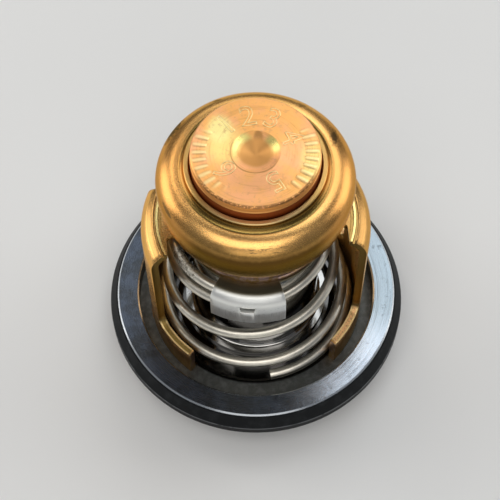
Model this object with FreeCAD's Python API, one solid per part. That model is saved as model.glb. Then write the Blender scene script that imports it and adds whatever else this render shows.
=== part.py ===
import FreeCAD, Part
import math
import os

# Heavy-duty engine thermostat, wax side up, in millimetres.
# Heights below are counted from the flange's upper face, with +Z towards the wax capsule.
# The finished solids are raised so that the part stands on z = 0, on the foot of its outlet bridge.

# Flange and its seal
FACE_WIDTH = 4.9         # width of the flat clamping face
RIM_T = 3.2              # thickness of the rim that the seal grips
RECESS_DEPTH = 4.4       # depth of the recess that holds the valve
FLOOR_T = 1.8            # thickness of the recess floor
FLANGE_EDGE = 0.35       # chamfer on the flange's turned edges
SEAL_SEAT = 2.6          # width of the step under the rim for the seal
SEAL_STAND = 1.9         # how far the seal stands out past the rim
SEAL_TOP = 0.6           # the seal starts this far below the face
SEAL_SHOULDER = 3.3      # depth at which the seal's taper ends
SEAL_LIP = 2.0           # height of the upright band that seals in the housing
SEAL_UNDER = 2.6         # thickness of rubber under the rim
SEAL_CREST = 0.35        # width of the flat at the top of the taper
SEAL_ROUND = 0.4         # height of the corner under the taper
SEAL_TAPER_IN = 0.25     # the taper ends this far inside the upright band
SEAL_FOOT_IN = 0.5       # the underside is drawn in by this much

# Stirrup frame
SHEET = 1.6              # brass sheet of the arms
FOOT_GAP = 2.7           # room between the frame's feet and the recess wall
ARM_W = 18.6             # width of each arm, straight across its outside
FOOT_W = 36.4            # width of each T-shaped foot, straight across its outside
FOOT_TOP = 4.4           # height of the feet above the flange face
FOOT_BLEND = 2.2         # radius where an arm runs out into its foot
FOOT_CORNER = 0.8        # radius on the feet's ends
ARM_TURN = 4.0           # direction of the arms, degrees counter-clockwise from +X
CROWN_TOP = 32.6         # height of the frame's crown
CROWN_CORNER = 4.0       # outside bend radius at the top of the arms
CROWN_BAND = 2.8         # width of the smooth outer band of the crown
BEAD_DEPTH = 0.75        # depth of the grooves beside the crown's bead
BEAD_W = 0.65            # width of the bead
GROOVE_W = 0.45          # width of each groove
GROOVE_SLOPE = 0.1       # how far each groove's walls lean
LEDGE_BEND = 0.6         # width of the slope between the ledge's underside and the bend
LEDGE_T = 1.4            # thickness of the crown inside its bead
LEDGE_DROP = 0.7         # the ledge lies this far below the crown's top
NECK_W = 6.0             # width of the necks between shoulders and guide eye
NECK_CORNER = 1.2        # corner radius of the windows beside the necks
SHOULDER_IN = 3.8        # the shoulders reach this far inside the arms' inner face
EYE_W = 1.0              # width of the guide eye round the hub
TONGUE_W = 7.6           # width of the riveted tongues
TONGUE_CLEAR = 0.15      # clearance of each tongue in its slot
PEEN_T = 1.0             # thickness of the riveted heads
PEEN_SPREAD = 0.7        # how far the riveted heads stand past the slots

# Outlet bridge
BRIDGE_DROP = 14.0       # depth of the bridge's rest face below the flange face
BRIDGE_T = 1.5           # sheet of the bridge
BRIDGE_W = 16.0          # width of the bridge
BRIDGE_BAR = 29.0        # length of the flat that the part stands on
BRIDGE_FOOT = 5.6        # radial length of each bridge foot
BRIDGE_END_GAP = 3.2     # the feet end this far inside the seal's step
BRIDGE_BEND = 1.2        # inside radius of the bridge's bends
CUP_ROOM = 1.6           # the pressed cup is this much wider than the piston
CUP_RISE = 0.9           # height of the pressed cup

# Valve plate
PLATE_T = 0.9            # stainless sheet of the valve plate
PLATE_GAP = 0.3          # running gap between plate and feet
SEAT_LAND = 2.9          # width of the seat under the plate
PLATE_STEP = 1.0         # the plate's middle stands this far above its rim
PLATE_SLOPE = 1.2        # radial length of the slope between rim and middle
PLATE_LAND = 0.8         # flat of the raised middle outside the hub's foot
PLATE_RIM = 4.3          # width of the flat rim that carries the spring
PLATE_BEND_IN = 0.3      # the underside's bends lie this far inside the upper ones
PLATE_EDGE = 0.25        # chamfers on the plate's rim

# Wax capsule
CAPSULE_R = 12.9         # radius of the copper cup
CAPSULE_WALL = 1.0       # wall of the cup
HEAD_T = 1.8             # thickness of the head
HEAD_STEP = 0.15         # the head's face is this much smaller than the cup
HEAD_BAND = 1.5          # height of the smaller band under the face
DIMPLE_R = 4.9           # radius of the conical dimple in the head
DIMPLE_DEPTH = 1.1
COLLAR_STAND = 2.3       # the crimped collar stands this far outside the cup
COLLAR_T = 2.2           # height of the crimped collar
CRIMP_T = 0.7            # thickness of the turned-in crimp lip
CRIMP_IN = 3.4           # the crimp lip reaches this far inside the cup's outside
CUP_EDGE = 0.2           # chamfers on the head and the collar

# Hub sleeve and bypass ring
HUB_GAP = 0.2            # gap between capsule and hub, and capsule and collar
HUB_WALL = 0.9
HUB_FOOT = 2.2           # width of the hub's foot flange
HUB_FILLET = 1.0         # outside fillet at the hub's foot
RING_T = 1.2             # sheet of the bypass ring
RING_LIFT = 8.8          # the ring rests this far above the frame's crown
HEAD_PROUD = 3.8         # the head stands this far above the ring's collar
RING_COLLAR = 1.6        # height of the ring's collar above its shoulder
RING_FILLET = 1.2        # concave fillet at the collar's foot
RING_LAND = 0.1          # flat between the fillet and the ring's shoulder
RING_SHOULDER = 4.5      # outside radius of the ring's round shoulder
RING_HEIGHT = 11.8       # height of the bypass ring
RING_TUCK = 0.8          # the lower edge is drawn in by this much
RING_EDGE = 0.25         # chamfers on the collar

# Main spring
WIRE = 2.3               # wire diameter
WIRE_GAP = 0.3           # gap between the lowest turn and the feet
SPRING_HUB_GAP = 1.25    # the top turn's mean clearance round the hub
SPRING_START = -82.0     # direction of the lower wire end, degrees
SPRING_TURNS = 3.98
LOW_TURN = 306.0         # degrees of slow rise at the bottom
TOP_TURN = 228.0         # degrees of closed turn at the top
PITCH_RAMP = 120.0       # degrees over which the pitch changes
LOW_PITCH = 0.44         # pitch of the lower turn as a share of the free pitch
TOP_PITCH = 0.10         # pitch of the top turn as a share of the free pitch
SPRING_LEAN = 1.2        # sideways offset of the top turn towards -X
SPRING_BOW = 0.2         # extra sideways bow at mid-height
CONE_POWER = 0.92        # how the radius narrows with height

# Spring retainer
RETAINER_T = 0.7
RETAINER_BORE_GAP = 0.3  # gap between the retainer's hole and the hub
RETAINER_RIM = 1.1       # width of the retainer's plain ring
STRAP_GAP = 1.35         # gap between top turn and strap
STRAP_BEND = 2.6         # outside bend radius of the straps
STRAP_SPAN = 47.6        # degrees that each strap spans
STRAP_DROP = 9.3         # length of each strap below the retainer's top
RETAINER_TURN = -5.8     # direction of the straps, degrees from the Y axis
TAB_W = 2.9              # width of the lanced tab
TAB_TOP = 3.6            # depth of the tab's upper edge below the retainer's top
TAB_STAND = 0.6          # how far the tab stands out
TAB_FOOT = 0.6           # height of the tab's lower end above the strap's end
TAB_ROOT = 0.1           # the tab starts this far inside the strap's sheet
SLOT_H = 0.9             # height of the slot above the tab

# Piston, guide and rubber parts
PISTON_R = 3.0
PISTON_LEN = 32.0
PISTON_TIP = 1.0         # length of the piston's tapered ends
RUNNING = 0.04           # radial clearance of the sliding fits
GUIDE_FLANGE_T = 2.5
SNOUT_WALL = 2.6         # wall of the guide below the capsule
SNOUT_LEN = 3.4
SNOUT_EDGE = 0.4         # chamfer at the snout's end
SPIGOT_WALL = 2.2        # wall of the guide inside the rubber sleeve
SPIGOT_LEN = 8.4
WIPER_W = 1.3            # radial width of the wiper ring
WIPER_H = 1.4
WASHER_T = 1.0           # backing washer under the sleeve's flange
INNER_GAP = 0.05         # gap between the parts inside the capsule
SLEEVE_WALL = 1.8        # rubber round the spigot
SLEEVE_FLANGE_T = 1.6
SLEEVE_END = 3.0         # rubber above the piston
SLEEVE_TAPER = 1.5       # chamfer at the sleeve's closed end
PISTON_ROOM = 0.4        # space above the piston in the sleeve

# Radii, from the capsule outwards to the flange
HUB_IN = CAPSULE_R + HUB_GAP
HUB_R = HUB_IN + HUB_WALL
HUB_FOOT_R = HUB_R + HUB_FOOT
PLATE_MIDDLE_R = HUB_FOOT_R + PLATE_LAND
PLATE_RIM_R = PLATE_MIDDLE_R + PLATE_SLOPE
PLATE_R = PLATE_RIM_R + PLATE_RIM
SEAT_R = PLATE_R - SEAT_LAND
ARM_IN = PLATE_R + PLATE_GAP
ARM_R = ARM_IN + SHEET
RECESS_R = ARM_R + FOOT_GAP
FLANGE_R = RECESS_R + FACE_WIDTH
SEAL_STEP_R = FLANGE_R - SEAL_SEAT
ARM_HALF = math.degrees(math.asin(ARM_W / 2 / ARM_R))
FOOT_HALF = math.degrees(math.asin(FOOT_W / 2 / ARM_R))
EYE_IN = HUB_R + RUNNING
EYE_R = EYE_IN + EYE_W
COLLAR_R = CAPSULE_R + COLLAR_STAND
CRIMP_R = CAPSULE_R - CRIMP_IN
RING_COLLAR_R = HUB_IN + RING_T
SHOULDER_R = RING_COLLAR_R + RING_FILLET + RING_LAND
RING_R = SHOULDER_R + RING_SHOULDER
SPRING_LOW_R = ARM_IN - WIRE_GAP - WIRE / 2
SPRING_TOP_R = HUB_R + SPRING_HUB_GAP + WIRE / 2
STRAP_IN = SPRING_TOP_R + WIRE / 2 + STRAP_GAP
STRAP_R = STRAP_IN + RETAINER_T
CUP_R = PISTON_R + CUP_ROOM
SNOUT_R = PISTON_R + SNOUT_WALL
SPIGOT_R = PISTON_R + SPIGOT_WALL
WIPER_R = PISTON_R + WIPER_W
SLEEVE_R = SPIGOT_R + SLEEVE_WALL
GUIDE_R = CAPSULE_R - CAPSULE_WALL - INNER_GAP

# Heights
FLOOR_Z = -RECESS_DEPTH
UNDER_Z = FLOOR_Z - FLOOR_T
PLATE_TOP = FLOOR_Z + PLATE_T
MIDDLE_TOP = PLATE_TOP + PLATE_STEP
MIDDLE_UNDER = MIDDLE_TOP - PLATE_T
COLLAR_LOW = MIDDLE_UNDER - COLLAR_T
LEDGE_TOP = CROWN_TOP - LEDGE_DROP
LEDGE_UNDER = LEDGE_TOP - LEDGE_T
RETAINER_UNDER = LEDGE_UNDER - RETAINER_T
SPRING_LOW_Z = PLATE_TOP + WIRE / 2
SPRING_TOP_Z = RETAINER_UNDER - WIRE / 2
RING_LOW = CROWN_TOP + RING_LIFT
RING_TOP = RING_LOW + RING_HEIGHT
SHOULDER_TOP = RING_TOP - RING_COLLAR
SHOULDER_Z = SHOULDER_TOP - RING_SHOULDER
HUB_TOP = SHOULDER_TOP - RING_T
HEAD_TOP = RING_TOP + HEAD_PROUD
REST_Z = -BRIDGE_DROP
CUP_TOP = REST_Z + BRIDGE_T + CUP_RISE
PISTON_TOP = CUP_TOP + PISTON_LEN
GUIDE_LOW = COLLAR_LOW + CRIMP_T
GUIDE_TOP = GUIDE_LOW + GUIDE_FLANGE_T
WASHER_TOP = GUIDE_TOP + WASHER_T
SLEEVE_FLANGE_TOP = WASHER_TOP + SLEEVE_FLANGE_T
SPIGOT_TOP = GUIDE_TOP + SPIGOT_LEN
SLEEVE_TOP = PISTON_TOP + PISTON_ROOM + SLEEVE_END

AXIS = FreeCAD.Vector(0, 0, 1)
CENTRE = FreeCAD.Vector(0, 0, 0)


def point(r, z):
    return FreeCAD.Vector(r, 0, z)


def outline(start, *steps):
    """Closed face in the XZ plane: a step is a point, or a pair (point on the arc, end of the arc)."""
    edges = []
    here = point(*start)
    for step in steps + (start,):
        if isinstance(step[0], tuple):
            middle = point(*step[0])
            there = point(*step[1])
            edges.append(Part.Arc(here, middle, there).toShape())
        else:
            there = point(*step)
            edges.append(Part.LineSegment(here, there).toShape())
        here = there
    return Part.Face(Part.Wire(edges))


def arc(centre, radius, start, end):
    """The pair (middle, end) of an arc about centre, by its two directions in degrees."""
    def spot(degrees):
        a = math.radians(degrees)
        return (centre[0] + radius * math.cos(a), centre[1] + radius * math.sin(a))
    return (spot((start + end) / 2), spot(end))


def turned(face, degrees=360.0, first=0.0):
    solid = face.revolve(CENTRE, AXIS, degrees)
    solid.rotate(CENTRE, AXIS, first)
    return solid


def tube(r_in, r_out, low, high):
    outer = Part.makeCylinder(r_out, high - low, FreeCAD.Vector(0, 0, low))
    return outer.cut(Part.makeCylinder(r_in, high - low, FreeCAD.Vector(0, 0, low)))


def block(x0, x1, y0, y1, z0, z1):
    return Part.makeBox(x1 - x0, y1 - y0, z1 - z0, FreeCAD.Vector(x0, y0, z0))


def upright_edges(shape):
    found = []
    for edge in shape.Edges:
        ends = [v.Point for v in edge.Vertexes]
        if len(ends) == 2 and (ends[0] - ends[1]).cross(AXIS).Length < 1e-6:
            found.append(edge)
    return found


def near(a, b):
    return abs(a - b) < 1e-6


def cross_edges(shape, along, **place):
    """Straight edges that run along axis number along, at the given abs_x, abs_y or z."""
    found = []
    for edge in shape.Edges:
        ends = [v.Point for v in edge.Vertexes]
        if len(ends) == 2 and abs(ends[0][along] - ends[1][along]) > 1:
            spot = {"abs_x": abs(ends[0].x), "abs_y": abs(ends[0].y), "z": ends[0].z}
            if all(near(spot[key], value) for key, value in place.items()):
                found.append(edge)
    return found


def radial_edges(shape, half, z):
    """Straight edges at height z that run outwards, half degrees from the X axis."""
    found = []
    for edge in shape.Edges:
        ends = [v.Point for v in edge.Vertexes]
        if len(ends) == 2 and all(near(p.z, z) for p in ends):
            angles = [math.degrees(math.atan2(abs(p.y), abs(p.x))) for p in ends]
            radii = [math.hypot(p.x, p.y) for p in ends]
            if all(near(a, half) for a in angles) and not near(*radii):
                found.append(edge)
    return found


def turn(shape, degrees):
    copy = shape.copy()
    copy.rotate(CENTRE, AXIS, degrees)
    return copy


def tongue_slot(clearance, low, high):
    """Solid of both tongues of the frame, or with a clearance the slots that take them."""
    wall = tube(ARM_IN - clearance, ARM_R + clearance, low, high)
    half = TONGUE_W / 2 + clearance
    return wall.common(block(-FLANGE_R, FLANGE_R, -half, half, low, high))


def flange():
    e = FLANGE_EDGE
    face = outline(
        (RECESS_R + e, 0), (FLANGE_R - e, 0), (FLANGE_R, -e), (FLANGE_R, -RIM_T), (SEAL_STEP_R, -RIM_T),
        (SEAL_STEP_R, UNDER_Z + e), (SEAL_STEP_R - e, UNDER_Z), (SEAT_R, UNDER_Z), (SEAT_R, FLOOR_Z - e),
        (SEAT_R + e, FLOOR_Z), (RECESS_R, FLOOR_Z), (RECESS_R, -e))
    slots = turn(tongue_slot(TONGUE_CLEAR, UNDER_Z - 1, FLOOR_Z + 1), ARM_TURN)
    return turned(face).cut(slots)


def seal_ring():
    lip_r = FLANGE_R + SEAL_STAND
    low = -RIM_T - SEAL_UNDER
    band_low = -SEAL_SHOULDER - SEAL_LIP
    face = outline(
        (FLANGE_R, -SEAL_TOP), (FLANGE_R + SEAL_CREST, -SEAL_TOP),
        (lip_r - SEAL_TAPER_IN, -SEAL_SHOULDER + SEAL_ROUND), (lip_r, -SEAL_SHOULDER), (lip_r, band_low),
        (lip_r - SEAL_FOOT_IN, low), (SEAL_STEP_R, low), (SEAL_STEP_R, -RIM_T), (FLANGE_R, -RIM_T))
    return turned(face)


def crown_section():
    """Section of the frame's sheet: an upright wall that bends in to a beaded crown."""
    bend_r = ARM_R - CROWN_CORNER
    bend_z = CROWN_TOP - CROWN_CORNER
    inner_bend = CROWN_CORNER - SHEET
    band = ARM_R - CROWN_BAND
    band_angle = math.degrees(math.acos((band - bend_r) / CROWN_CORNER))
    bead_low = CROWN_TOP - BEAD_DEPTH
    bead_out = band - GROOVE_W
    bead_in = bead_out - BEAD_W
    ledge_r = bead_in - GROOVE_W
    lean = GROOVE_SLOPE
    return outline(
        (ARM_R, FLOOR_Z), (ARM_R, bend_z), arc((bend_r, bend_z), CROWN_CORNER, 0, band_angle),
        (band - lean, bead_low), (bead_out, bead_low), (bead_out - lean, CROWN_TOP),
        (bead_in + lean, CROWN_TOP), (bead_in, bead_low), (ledge_r, bead_low), (ledge_r - lean, LEDGE_TOP),
        (EYE_IN, LEDGE_TOP), (EYE_IN, LEDGE_UNDER), (bend_r - LEDGE_BEND, LEDGE_UNDER),
        (bend_r, bend_z + inner_bend), arc((bend_r, bend_z), inner_bend, 90, 0), (ARM_IN, FLOOR_Z))


def sectors(half, low, high):
    """Both parts of a thick tube that lie within half degrees of the X axis."""
    face = outline((EYE_IN, low), (FLANGE_R, low), (FLANGE_R, high), (EYE_IN, high))
    return turned(face, 2 * half, -half).fuse(turned(face, 2 * half, 180 - half))


def arm_outline():
    """The arms with their T-shaped feet, cut radially, as thick as the room inside the flange."""
    arms = sectors(ARM_HALF, FLOOR_Z, CROWN_TOP + 1)
    feet = sectors(FOOT_HALF, FLOOR_Z, FOOT_TOP)
    whole = arms.fuse(feet).removeSplitter()
    whole = whole.makeFillet(FOOT_BLEND, radial_edges(whole, ARM_HALF, FOOT_TOP))
    return whole.makeFillet(FOOT_CORNER, radial_edges(whole, FOOT_HALF, FOOT_TOP))


def crown_windows():
    """The openings in the crown in front of and behind the guide eye."""
    reach = ARM_IN - SHOULDER_IN
    low = FOOT_TOP + FOOT_BLEND + 1
    cuts = []
    for side in (1, -1):
        neck = side * NECK_W / 2
        far = side * FLANGE_R
        window = block(-reach, reach, min(neck, far), max(neck, far), low, CROWN_TOP + 1)
        inner = [e for e in upright_edges(window) if near(e.Vertexes[0].Y, neck)]
        cuts.append(window.makeFillet(NECK_CORNER, inner))
    return cuts[0].fuse(cuts[1])


def frame():
    shell = turned(crown_section())
    body = shell.common(arm_outline()).cut(crown_windows())
    eye = tube(EYE_IN, EYE_R, LEDGE_UNDER, LEDGE_TOP)
    head_top = UNDER_Z - BRIDGE_T
    tongues = tongue_slot(0, head_top - PEEN_T, FLOOR_Z)
    spread = TONGUE_CLEAR + PEEN_SPREAD
    heads = tongue_slot(spread, head_top - PEEN_T, head_top)
    whole = body.fuse([eye, tongues, heads]).removeSplitter()
    return turn(whole, ARM_TURN)


def bridge():
    half = BRIDGE_BAR / 2
    bar_top = REST_Z + BRIDGE_T
    foot_low = UNDER_Z - BRIDGE_T
    foot_end = SEAL_STEP_R - BRIDGE_END_GAP
    knee = foot_end - BRIDGE_FOOT
    tilt = math.atan2(foot_low - REST_Z, knee - half)
    shift = BRIDGE_T * math.tan(tilt / 2)
    face = outline(
        (-foot_end, UNDER_Z), (-foot_end, foot_low), (-knee, foot_low), (-half, REST_Z), (half, REST_Z),
        (knee, foot_low), (foot_end, foot_low), (foot_end, UNDER_Z), (knee - shift, UNDER_Z),
        (half - shift, bar_top), (-half + shift, bar_top), (-knee + shift, UNDER_Z))
    face.translate(FreeCAD.Vector(0, -BRIDGE_W / 2, 0))
    strap = face.extrude(FreeCAD.Vector(0, BRIDGE_W, 0))
    outside = cross_edges(strap, 1, abs_x=half, z=REST_Z)
    outside += cross_edges(strap, 1, abs_x=knee - shift, z=UNDER_Z)
    strap = strap.makeFillet(BRIDGE_BEND + BRIDGE_T, outside)
    inside = cross_edges(strap, 1, abs_x=half - shift, z=bar_top)
    inside += cross_edges(strap, 1, abs_x=knee, z=foot_low)
    strap = strap.makeFillet(BRIDGE_BEND, inside)
    strap = strap.common(Part.makeCylinder(foot_end, BRIDGE_DROP, FreeCAD.Vector(0, 0, REST_Z)))
    cup = turned(outline((0, bar_top), (CUP_R, bar_top), (CUP_R - CUP_RISE, CUP_TOP), (0, CUP_TOP)))
    hollow_r = CUP_R - BRIDGE_T
    hollow = turned(outline((0, REST_Z), (hollow_r, REST_Z), (hollow_r - CUP_RISE, REST_Z + CUP_RISE),
                            (0, REST_Z + CUP_RISE)))
    slots = tongue_slot(TONGUE_CLEAR, foot_low - 1, UNDER_Z + 1)
    whole = strap.fuse(cup).removeSplitter().cut(hollow).cut(slots)
    return turn(whole, ARM_TURN)


def valve_plate():
    edge = PLATE_EDGE
    face = outline(
        (HUB_IN, MIDDLE_UNDER), (PLATE_MIDDLE_R - PLATE_BEND_IN, MIDDLE_UNDER),
        (PLATE_RIM_R - PLATE_BEND_IN, FLOOR_Z), (PLATE_R - edge, FLOOR_Z), (PLATE_R, FLOOR_Z + edge),
        (PLATE_R, PLATE_TOP - edge), (PLATE_R - edge, PLATE_TOP), (PLATE_RIM_R, PLATE_TOP),
        (PLATE_MIDDLE_R, MIDDLE_TOP), (HUB_IN, MIDDLE_TOP))
    return turned(face)


def hub_sleeve():
    foot_top = MIDDLE_TOP + HUB_WALL
    face = outline(
        (HUB_IN, MIDDLE_TOP), (HUB_FOOT_R, MIDDLE_TOP), (HUB_FOOT_R, foot_top),
        (HUB_R + HUB_FILLET, foot_top),
        arc((HUB_R + HUB_FILLET, foot_top + HUB_FILLET), HUB_FILLET, 270, 180),
        (HUB_R, HUB_TOP), (HUB_IN, HUB_TOP))
    return turned(face)


def bypass_ring():
    foot_r = RING_COLLAR_R + RING_FILLET
    fall = SHOULDER_Z - RING_LOW
    flank = (fall * fall + RING_TUCK * RING_TUCK) / (2 * RING_TUCK)
    flank_centre = (RING_R - flank, SHOULDER_Z)
    low_angle = -math.degrees(math.asin(fall / flank))
    inner_flank = flank - RING_T
    inner_low_r = flank_centre[0] + math.sqrt(inner_flank * inner_flank - fall * fall)
    inner_angle = -math.degrees(math.asin(fall / inner_flank))
    inner_shoulder = RING_SHOULDER - RING_T
    edge = RING_EDGE
    face = outline(
        (HUB_IN, RING_TOP - edge), (HUB_IN + edge, RING_TOP), (RING_COLLAR_R - edge, RING_TOP),
        (RING_COLLAR_R, RING_TOP - edge), (RING_COLLAR_R, SHOULDER_TOP + RING_FILLET),
        arc((foot_r, SHOULDER_TOP + RING_FILLET), RING_FILLET, 180, 270), (SHOULDER_R, SHOULDER_TOP),
        arc((SHOULDER_R, SHOULDER_Z), RING_SHOULDER, 90, 0), arc(flank_centre, flank, 0, low_angle),
        (inner_low_r, RING_LOW), arc(flank_centre, inner_flank, inner_angle, 0),
        arc((SHOULDER_R, SHOULDER_Z), inner_shoulder, 0, 90), (HUB_IN, HUB_TOP))
    return turned(face)


def capsule_cup():
    bore = CAPSULE_R - CAPSULE_WALL
    face_r = CAPSULE_R - HEAD_STEP
    band_z = HEAD_TOP - HEAD_BAND
    edge = CUP_EDGE
    face = outline(
        (0, HEAD_TOP - DIMPLE_DEPTH), (DIMPLE_R, HEAD_TOP), (face_r - edge, HEAD_TOP),
        (face_r, HEAD_TOP - edge), (face_r, band_z), (CAPSULE_R, band_z - HEAD_STEP),
        (CAPSULE_R, MIDDLE_UNDER), (COLLAR_R, MIDDLE_UNDER), (COLLAR_R, COLLAR_LOW + edge),
        (COLLAR_R - edge, COLLAR_LOW), (CRIMP_R, COLLAR_LOW), (CRIMP_R, GUIDE_LOW), (bore, GUIDE_LOW),
        (bore, HEAD_TOP - HEAD_T), (0, HEAD_TOP - HEAD_T))
    return turned(face)


def piston_guide():
    bore = PISTON_R + RUNNING
    snout_low = GUIDE_LOW - SNOUT_LEN
    seat = snout_low + WIPER_H
    edge = SNOUT_EDGE
    face = outline(
        (WIPER_R, snout_low), (SNOUT_R - edge, snout_low), (SNOUT_R, snout_low + edge),
        (SNOUT_R, GUIDE_LOW), (GUIDE_R, GUIDE_LOW), (GUIDE_R, GUIDE_TOP), (SPIGOT_R, GUIDE_TOP),
        (SPIGOT_R, SPIGOT_TOP), (bore, SPIGOT_TOP), (bore, seat), (WIPER_R, seat))
    return turned(face)


def piston_wiper():
    low = GUIDE_LOW - SNOUT_LEN
    return tube(PISTON_R + RUNNING, WIPER_R, low, low + WIPER_H)


def backing_washer():
    return tube(SPIGOT_R + INNER_GAP, GUIDE_R, GUIDE_TOP, WASHER_TOP)


def rubber_sleeve():
    spigot = SPIGOT_R + INNER_GAP
    bore = PISTON_R + RUNNING
    face = outline(
        (spigot, WASHER_TOP), (GUIDE_R, WASHER_TOP), (GUIDE_R, SLEEVE_FLANGE_TOP),
        (SLEEVE_R, SLEEVE_FLANGE_TOP), (SLEEVE_R, SLEEVE_TOP - SLEEVE_TAPER),
        (SLEEVE_R - SLEEVE_TAPER, SLEEVE_TOP), (0, SLEEVE_TOP), (0, PISTON_TOP + PISTON_ROOM),
        (bore, PISTON_TOP + PISTON_ROOM), (bore, SPIGOT_TOP + INNER_GAP), (spigot, SPIGOT_TOP + INNER_GAP))
    return turned(face)


def wax_charge():
    outer = CAPSULE_R - CAPSULE_WALL - INNER_GAP
    inner = SLEEVE_R + INNER_GAP
    top = HEAD_TOP - HEAD_T - INNER_GAP
    face = outline((inner, SLEEVE_FLANGE_TOP), (outer, SLEEVE_FLANGE_TOP), (outer, top), (0, top),
                   (0, SLEEVE_TOP + INNER_GAP), (inner, SLEEVE_TOP + INNER_GAP))
    return turned(face)


def piston():
    tip_r = PISTON_R - PISTON_TIP / 2
    face = outline((0, CUP_TOP), (tip_r, CUP_TOP), (PISTON_R, CUP_TOP + PISTON_TIP),
                   (PISTON_R, PISTON_TOP - PISTON_TIP), (tip_r, PISTON_TOP), (0, PISTON_TOP))
    return turned(face)


def spring_centreline():
    """Points of a leaning conical coil whose pitch is small at both ends."""
    total = SPRING_TURNS * 360
    step = 15.0
    count = int(round(total / step))
    step = total / count
    heights = [0.0]
    for i in range(count):
        a = (i + 0.5) * step
        low = min(max((a - LOW_TURN) / PITCH_RAMP, 0), 1)
        high = min(max((total - TOP_TURN - a) / PITCH_RAMP, 0), 1)
        rate = min(LOW_PITCH + (1 - LOW_PITCH) * low, TOP_PITCH + (1 - TOP_PITCH) * high)
        heights.append(heights[-1] + rate)
    points = []
    for i in range(count + 1):
        share = heights[i] / heights[-1]
        a = math.radians(SPRING_START + i * step)
        r = SPRING_LOW_R + (SPRING_TOP_R - SPRING_LOW_R) * share ** CONE_POWER
        lean = -SPRING_LEAN * share - 4 * SPRING_BOW * share * (1 - share)
        z = SPRING_LOW_Z + (SPRING_TOP_Z - SPRING_LOW_Z) * share
        points.append(FreeCAD.Vector(lean + r * math.cos(a), r * math.sin(a), z))
    return points


def main_spring():
    points = spring_centreline()
    curve = Part.BSplineCurve()
    curve.interpolate(points)
    start = curve.value(curve.FirstParameter)
    direction = curve.tangent(curve.FirstParameter)[0]
    ring = Part.Wire(Part.Circle(start, direction, WIRE / 2).toShape())
    return Part.Wire(curve.toShape()).makePipeShell([ring], True, True)


def spring_retainer():
    bore = HUB_R + RETAINER_BORE_GAP
    plain = tube(bore, bore + RETAINER_RIM, RETAINER_UNDER, LEDGE_UNDER)
    bend_r = STRAP_R - STRAP_BEND
    bend_z = LEDGE_UNDER - STRAP_BEND
    low = LEDGE_UNDER - STRAP_DROP
    strap_face = outline(
        (bore, RETAINER_UNDER), (bore, LEDGE_UNDER), (bend_r, LEDGE_UNDER),
        arc((bend_r, bend_z), STRAP_BEND, 90, 0), (STRAP_R, low), (STRAP_IN, low), (STRAP_IN, bend_z),
        arc((bend_r, bend_z), STRAP_BEND - RETAINER_T, 0, 90))
    tab_top = LEDGE_UNDER - TAB_TOP
    tab_low = low + TAB_FOOT
    tab_in = STRAP_IN + TAB_ROOT
    tab_face = outline(
        (tab_in, tab_top), (STRAP_R + TAB_STAND, tab_top), (STRAP_R, tab_low), (tab_in, tab_low))
    tab_span = math.degrees(TAB_W / STRAP_R)
    ring = plain
    for side in (90, 270):
        middle = side + RETAINER_TURN
        strap = turned(strap_face, STRAP_SPAN, middle - STRAP_SPAN / 2)
        slot = tube(STRAP_IN - 1, STRAP_R + 1, tab_top, tab_top + SLOT_H)
        wedge = Part.makeCylinder(STRAP_R + 2, SLOT_H, FreeCAD.Vector(0, 0, tab_top), AXIS, tab_span)
        wedge.rotate(CENTRE, AXIS, middle - tab_span / 2)
        strap = strap.cut(slot.common(wedge))
        tab = turned(tab_face, tab_span, middle - tab_span / 2)
        ring = ring.fuse([strap, tab])
    return ring.removeSplitter()


PIECES = {
    "flange": flange,
    "seal_ring": seal_ring,
    "frame": frame,
    "bridge": bridge,
    "spring_retainer": spring_retainer,
    "main_spring": main_spring,
    "piston": piston,
    "valve_plate": valve_plate,
    "hub_sleeve": hub_sleeve,
    "bypass_ring": bypass_ring,
    "capsule_cup": capsule_cup,
    "piston_guide": piston_guide,
    "piston_wiper": piston_wiper,
    "backing_washer": backing_washer,
    "rubber_sleeve": rubber_sleeve,
    "wax_charge": wax_charge,
}


def main():
    for name, make in PIECES.items():
        solid = make()
        solid.translate(FreeCAD.Vector(0, 0, BRIDGE_DROP))
        solid.exportStep("parts/" + name + ".step")
        print(name, len(solid.Solids), "solid, volume", round(solid.Volume, 1), "valid", solid.isValid())


os.makedirs("parts", exist_ok=True)
main()
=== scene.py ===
import math

import bmesh
import bpy
from bpy.props import FloatProperty, FloatVectorProperty, IntProperty, PointerProperty
from mathutils import Matrix, Vector


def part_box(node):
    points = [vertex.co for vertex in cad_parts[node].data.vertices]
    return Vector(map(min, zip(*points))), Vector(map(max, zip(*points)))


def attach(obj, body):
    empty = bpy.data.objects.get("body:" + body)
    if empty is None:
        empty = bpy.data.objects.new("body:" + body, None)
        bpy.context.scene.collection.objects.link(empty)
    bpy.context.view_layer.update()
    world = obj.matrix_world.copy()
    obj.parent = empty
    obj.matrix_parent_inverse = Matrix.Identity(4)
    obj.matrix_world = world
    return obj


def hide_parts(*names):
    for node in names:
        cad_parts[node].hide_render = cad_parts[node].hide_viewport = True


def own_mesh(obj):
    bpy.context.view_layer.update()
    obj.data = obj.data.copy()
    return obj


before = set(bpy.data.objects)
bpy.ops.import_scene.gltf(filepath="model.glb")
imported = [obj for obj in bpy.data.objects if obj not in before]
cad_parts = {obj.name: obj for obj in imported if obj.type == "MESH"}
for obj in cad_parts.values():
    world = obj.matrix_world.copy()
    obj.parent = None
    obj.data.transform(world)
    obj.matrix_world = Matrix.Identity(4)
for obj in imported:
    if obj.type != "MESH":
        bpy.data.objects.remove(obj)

bl_info = {
    "name": "Engine Thermostat",
    "version": (1, 0, 0),
    "blender": (4, 5, 0),
    "location": "View3D > Sidebar > Thermostat",
    "description": "Dresses the solids of an engine thermostat: spring, stamped head and metal finishes",
    "category": "Add Mesh",
}

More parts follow.
